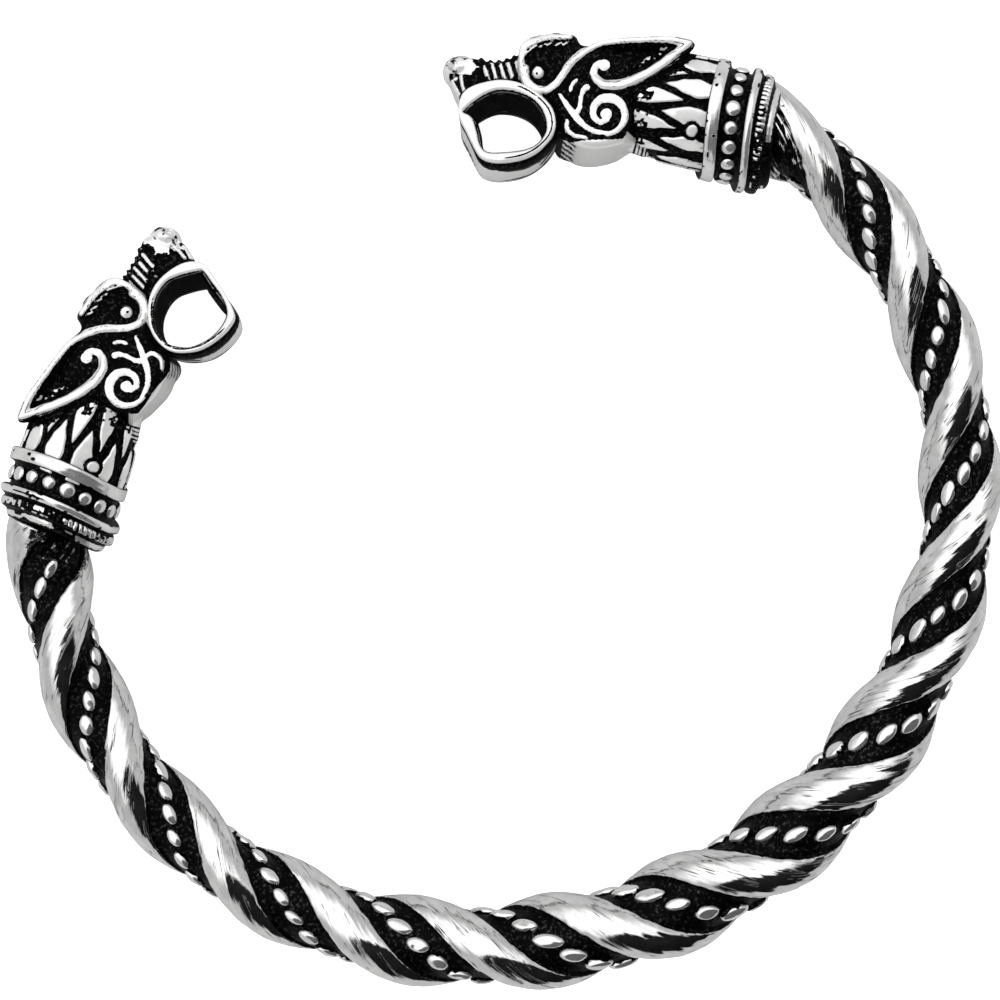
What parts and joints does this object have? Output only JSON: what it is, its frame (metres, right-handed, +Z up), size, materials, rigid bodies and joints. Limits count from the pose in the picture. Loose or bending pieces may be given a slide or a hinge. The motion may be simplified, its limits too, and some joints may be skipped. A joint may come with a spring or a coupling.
{
  "type": "viking arm ring",
  "caption": "Open twisted metal arm ring with beaded channels between polished strands and collared beast heads that face each other across the gap, each biting a round loop.",
  "frame": {"origin": "centre of the bottom of the bounding box, on the floor plane that the ring lies on", "axes": "+Z up through the wrist opening as the ring lies flat; +Y from the back of the hoop to the gap between the heads; +X across, to the right as seen from above with the gap away from the viewer"},
  "size_m": [0.0768, 0.0688, 0.0095],
  "materials": {
    "antiqued_hoop": "polished strands with black oxidised channels",
    "antiqued_bead": "worn satin with blackened edges",
    "antiqued_collar": "polished ridges with black oxidised recesses",
    "antiqued_head": "satin with polished relief and black oxidised recesses"
  },
  "bodies": {
    "root": {"twisted_hoop": "antiqued_hoop", "bead_row_1": "antiqued_bead", "bead_row_2": "antiqued_bead", "collar_left": "antiqued_collar", "collar_right": "antiqued_collar", "head_left": "antiqued_head", "head_right": "antiqued_head"}
  },
  "joints": []
}
